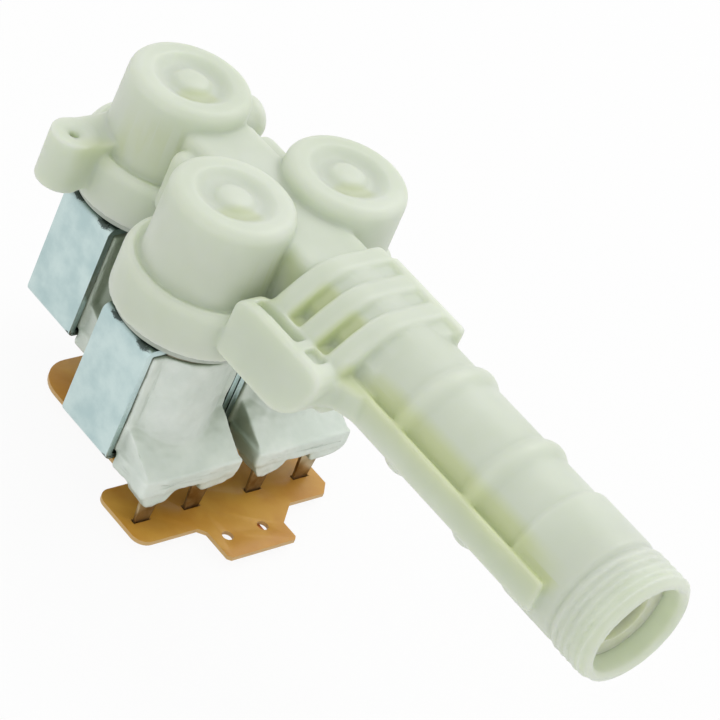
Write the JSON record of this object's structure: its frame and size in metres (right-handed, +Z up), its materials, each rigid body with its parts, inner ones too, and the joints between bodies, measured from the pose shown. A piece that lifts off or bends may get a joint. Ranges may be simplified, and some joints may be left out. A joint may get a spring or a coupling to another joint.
{
  "type": "washing machine inlet valve",
  "caption": "Appliance water inlet valve: moulded manifold with a long threaded inlet tube, domed valve chambers over strapped coils, and a shared circuit board.",
  "frame": {"origin": "centre of the bounding box's base, on the tips of the terminal legs", "axes": "-Y is the threaded inlet, +Y the rear valve, +X the side with the outlets, +Z up through the domes"},
  "size_m": [0.065, 0.1684, 0.0756],
  "materials": {
    "body_plastic": "satin, slightly translucent natural polyamide",
    "coil_plastic": "satin white encapsulation",
    "guide_plastic": "satin",
    "bobbin_plastic": "satin",
    "rubber": "matte moulded rubber",
    "yoke_steel": "zinc plated sheet, dulled, edges scuffed",
    "plunger_steel": "turned stainless",
    "spring_steel": "drawn wire",
    "copper": "enamelled winding wire",
    "terminal_tin": "tinned blade, tarnished",
    "solder": "dull solder",
    "board_laminate": "brown phenolic paper laminate",
    "strainer_plastic": "moulded strainer plastic"
  },
  "bodies": {
    "manifold": {"valve_body": "body_plastic", "circuit_board": "board_laminate", "inlet_strainer": "strainer_plastic", "regulator_ring": "rubber", "diaphragm_rear": "rubber", "guide_tube_rear": "guide_plastic", "coil_bobbin_rear": "bobbin_plastic", "coil_winding_rear": "copper", "coil_yoke_rear": "yoke_steel", "coil_cover_rear": "coil_plastic", "terminal_rear_a": "terminal_tin", "solder_rear_a": "solder", "terminal_rear_b": "terminal_tin", "solder_rear_b": "solder", "diaphragm_left": "rubber", "guide_tube_left": "guide_plastic", "coil_bobbin_left": "bobbin_plastic", "coil_winding_left": "copper", "coil_yoke_left": "yoke_steel", "coil_cover_left": "coil_plastic", "terminal_left_a": "terminal_tin", "solder_left_a": "solder", "terminal_left_b": "terminal_tin", "solder_left_b": "solder", "diaphragm_right": "rubber", "guide_tube_right": "guide_plastic", "coil_bobbin_right": "bobbin_plastic", "coil_winding_right": "copper", "coil_yoke_right": "yoke_steel", "coil_cover_right": "coil_plastic", "terminal_right_a": "terminal_tin", "solder_right_a": "solder", "terminal_right_b": "terminal_tin", "solder_right_b": "solder", "plunger_spring_rear": "spring_steel", "plunger_spring_left": "spring_steel", "plunger_spring_right": "spring_steel"},
    "plunger_body_rear": {"plunger_rear": "plunger_steel", "plunger_seal_rear": "rubber"},
    "diaphragm_core_rear": {"diaphragm_insert_rear": "guide_plastic"},
    "plunger_body_left": {"plunger_left": "plunger_steel", "plunger_seal_left": "rubber"},
    "diaphragm_core_left": {"diaphragm_insert_left": "guide_plastic"},
    "plunger_body_right": {"plunger_right": "plunger_steel", "plunger_seal_right": "rubber"},
    "diaphragm_core_right": {"diaphragm_insert_right": "guide_plastic"}
  },
  "joints": [
    {"name": "plunger_slide_rear", "type": "slide", "parent": "manifold", "child": "plunger_body_rear", "axis": [0, 0, 1], "range_m": [-0.0025, 0], "stiffness_N_per_m": 150, "springref_m": 0.006, "deforming": ["plunger_spring_rear"]},
    {"name": "diaphragm_lift_rear", "type": "slide", "parent": "manifold", "child": "diaphragm_core_rear", "axis": [0, 0, 1], "range_m": [-0.0012, 0], "deforming": ["diaphragm_rear"]},
    {"name": "plunger_slide_left", "type": "slide", "parent": "manifold", "child": "plunger_body_left", "axis": [0, 0, 1], "range_m": [-0.0025, 0], "stiffness_N_per_m": 150, "springref_m": 0.006, "deforming": ["plunger_spring_left"]},
    {"name": "diaphragm_lift_left", "type": "slide", "parent": "manifold", "child": "diaphragm_core_left", "axis": [0, 0, 1], "range_m": [-0.0012, 0], "deforming": ["diaphragm_left"]},
    {"name": "plunger_slide_right", "type": "slide", "parent": "manifold", "child": "plunger_body_right", "axis": [0, 0, 1], "range_m": [-0.0025, 0], "stiffness_N_per_m": 150, "springref_m": 0.006, "deforming": ["plunger_spring_right"]},
    {"name": "diaphragm_lift_right", "type": "slide", "parent": "manifold", "child": "diaphragm_core_right", "axis": [0, 0, 1], "range_m": [-0.0012, 0], "deforming": ["diaphragm_right"]}
  ],
  "couplings": [
    {"joint": "diaphragm_lift_rear", "follows": "plunger_slide_rear", "ratio": 0.48},
    {"joint": "diaphragm_lift_left", "follows": "plunger_slide_left", "ratio": 0.48},
    {"joint": "diaphragm_lift_right", "follows": "plunger_slide_right", "ratio": 0.48}
  ]
}
